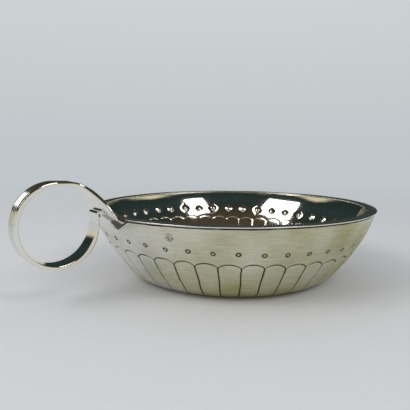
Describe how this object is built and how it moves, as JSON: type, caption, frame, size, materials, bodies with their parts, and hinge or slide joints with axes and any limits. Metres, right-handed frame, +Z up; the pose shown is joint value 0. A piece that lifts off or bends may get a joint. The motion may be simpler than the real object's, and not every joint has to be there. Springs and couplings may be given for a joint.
{
  "type": "wine taster",
  "caption": "Shallow silver wine-tasting cup with a petal-chased bowl, a flat soldered rim and a reeded ring handle that flares on to the wall.",
  "frame": {"origin": "on the bowl's axis, in the plane of the flat base that it stands on", "axes": "+Z up along the bowl's axis, out of its mouth; -X towards the ring handle; +Y along the finger ring's own axis"},
  "size_m": [0.1146, 0.09, 0.032],
  "materials": {
    "satin_silver": "hand-worn satin silver outside, polished inside",
    "polished_silver": "polished silver with fine wear",
    "silver_solder": "tarnished solder"
  },
  "bodies": {
    "root": {"bowl": "satin_silver", "rim_strip": "polished_silver", "rim_solder": "silver_solder", "ring_handle": "polished_silver", "root_solder": "silver_solder"}
  },
  "joints": []
}
